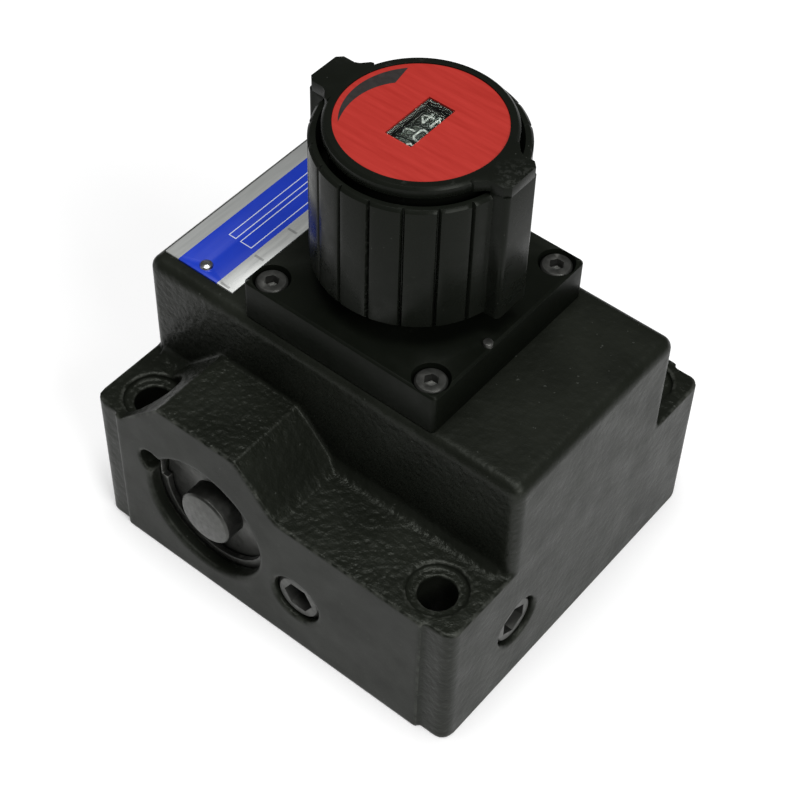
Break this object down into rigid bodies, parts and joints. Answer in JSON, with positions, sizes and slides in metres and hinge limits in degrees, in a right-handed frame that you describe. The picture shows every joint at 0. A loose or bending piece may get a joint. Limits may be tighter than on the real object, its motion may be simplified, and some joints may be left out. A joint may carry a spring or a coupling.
{
  "type": "flow control valve",
  "caption": "Gasket-mounted hydraulic flow control valve: cast body, digital dial knob that lifts a throttle spool, and a pressure-compensator spool in the front bore.",
  "frame": {"origin": "centre of the mounting face, the flat underside with the ports", "axes": "+Z from the mounting face up to the knob, -Y towards the face with the large plugged bore, +X to the right of that face"},
  "size_m": [0.1034, 0.0952, 0.122],
  "materials": {
    "painted_casting": "satin black paint",
    "painted_cover": "satin black paint",
    "black_steel": "black oxide",
    "steel": "ground",
    "spring_steel": "drawn",
    "seal_rubber": "matt",
    "nameplate_foil": "printed",
    "knob_plastic": "moulded",
    "dial_red": "printed",
    "bezel": "moulded",
    "clear_lens": "clear",
    "counter_plastic": "moulded",
    "wheel_plastic": "moulded"
  },
  "bodies": {
    "valve": {"valve_body": "painted_casting", "cover_plate": "painted_cover", "cover_seal": "seal_rubber", "stop_pin": "steel", "cover_screws": "black_steel", "nameplate": "nameplate_foil", "nameplate_rivets": "steel", "inlet_port_seal": "seal_rubber", "outlet_port_seal": "seal_rubber", "front_pipe_plug": "black_steel", "side_pipe_plug": "black_steel", "throttle_sleeve": "steel", "sleeve_seal": "seal_rubber", "spring_seat": "steel", "throttle_spring": "spring_steel", "spindle_gland": "steel", "spindle_seal": "seal_rubber", "compensator_sleeve": "steel", "end_plug": "black_steel", "end_plug_seal": "seal_rubber", "compensator_spring": "spring_steel", "retaining_ring": "black_steel", "counter_fixed_gear": "counter_plastic"},
    "throttle": {"throttle_spool": "steel"},
    "compensator": {"compensator_spool": "steel"},
    "knob": {"spindle": "steel", "knob_grip": "knob_plastic", "knob_set_screw": "black_steel", "dial_cap": "knob_plastic", "dial_label": "dial_red", "window_bezel": "bezel", "window_lens": "clear_lens", "counter_frame": "counter_plastic", "transfer_axle": "steel"},
    "drive": {"counter_drive_shaft": "counter_plastic"},
    "units": {"counter_axle": "steel", "counter_wheel_units": "wheel_plastic"},
    "tens": {"counter_wheel_tens": "wheel_plastic"},
    "hundreds": {"counter_wheel_hundreds": "wheel_plastic"},
    "transfer_low": {"transfer_pinion_low": "counter_plastic"},
    "transfer_high": {"transfer_pinion_high": "counter_plastic"}
  },
  "joints": [
    {"name": "spindle_lift", "type": "slide", "parent": "valve", "child": "throttle", "axis": [0, 0, 1], "range_m": [-0.005, 0.00043], "deforming": ["throttle_spring"]},
    {"name": "knob_turn", "type": "hinge", "parent": "throttle", "child": "knob", "pos_m": [0.0024, 0.0008, 0.122], "axis": [0, 0, 1], "range_deg": [-1800, 154.8]},
    {"name": "drive_spin", "type": "hinge", "parent": "knob", "child": "drive", "pos_m": [0.0024, 0.0128, 0.09], "axis": [0, 0, 1], "range_deg": [-3600.02, 309.62]},
    {"name": "units_spin", "type": "hinge", "parent": "knob", "child": "units", "pos_m": [0.0024, 0, 0.1139], "axis": [0, 1, 0], "range_deg": [-154.81, 1800.01]},
    {"name": "tens_spin", "type": "hinge", "parent": "knob", "child": "tens", "pos_m": [0.0024, 0, 0.1139], "axis": [0, 1, 0], "range_deg": [-15.48, 180]},
    {"name": "hundreds_spin", "type": "hinge", "parent": "knob", "child": "hundreds", "pos_m": [0.0024, 0, 0.1139], "axis": [0, 1, 0], "range_deg": [-1.55, 18]},
    {"name": "transfer_low_spin", "type": "hinge", "parent": "knob", "child": "transfer_low", "pos_m": [-0.0039, 0, 0.11], "axis": [0, 1, 0], "range_deg": [-450, 38.7]},
    {"name": "transfer_high_spin", "type": "hinge", "parent": "knob", "child": "transfer_high", "pos_m": [-0.0039, 0, 0.11], "axis": [0, 1, 0], "range_deg": [-45, 3.87]},
    {"name": "compensator_slide", "type": "slide", "parent": "valve", "child": "compensator", "axis": [0, -1, 0], "range_m": [0, 0.005], "stiffness_N_per_m": 900, "springref_m": -0.012, "deforming": ["compensator_spring"]}
  ],
  "couplings": [
    {"joint": "spindle_lift", "follows": "knob_turn", "m_per_rad": 0.00015915},
    {"joint": "drive_spin", "follows": "knob_turn", "ratio": 2},
    {"joint": "units_spin", "follows": "knob_turn", "ratio": -1},
    {"joint": "tens_spin", "follows": "knob_turn", "ratio": -0.1},
    {"joint": "hundreds_spin", "follows": "knob_turn", "ratio": -0.01},
    {"joint": "transfer_low_spin", "follows": "knob_turn", "ratio": 0.25},
    {"joint": "transfer_high_spin", "follows": "knob_turn", "ratio": 0.025}
  ]
}
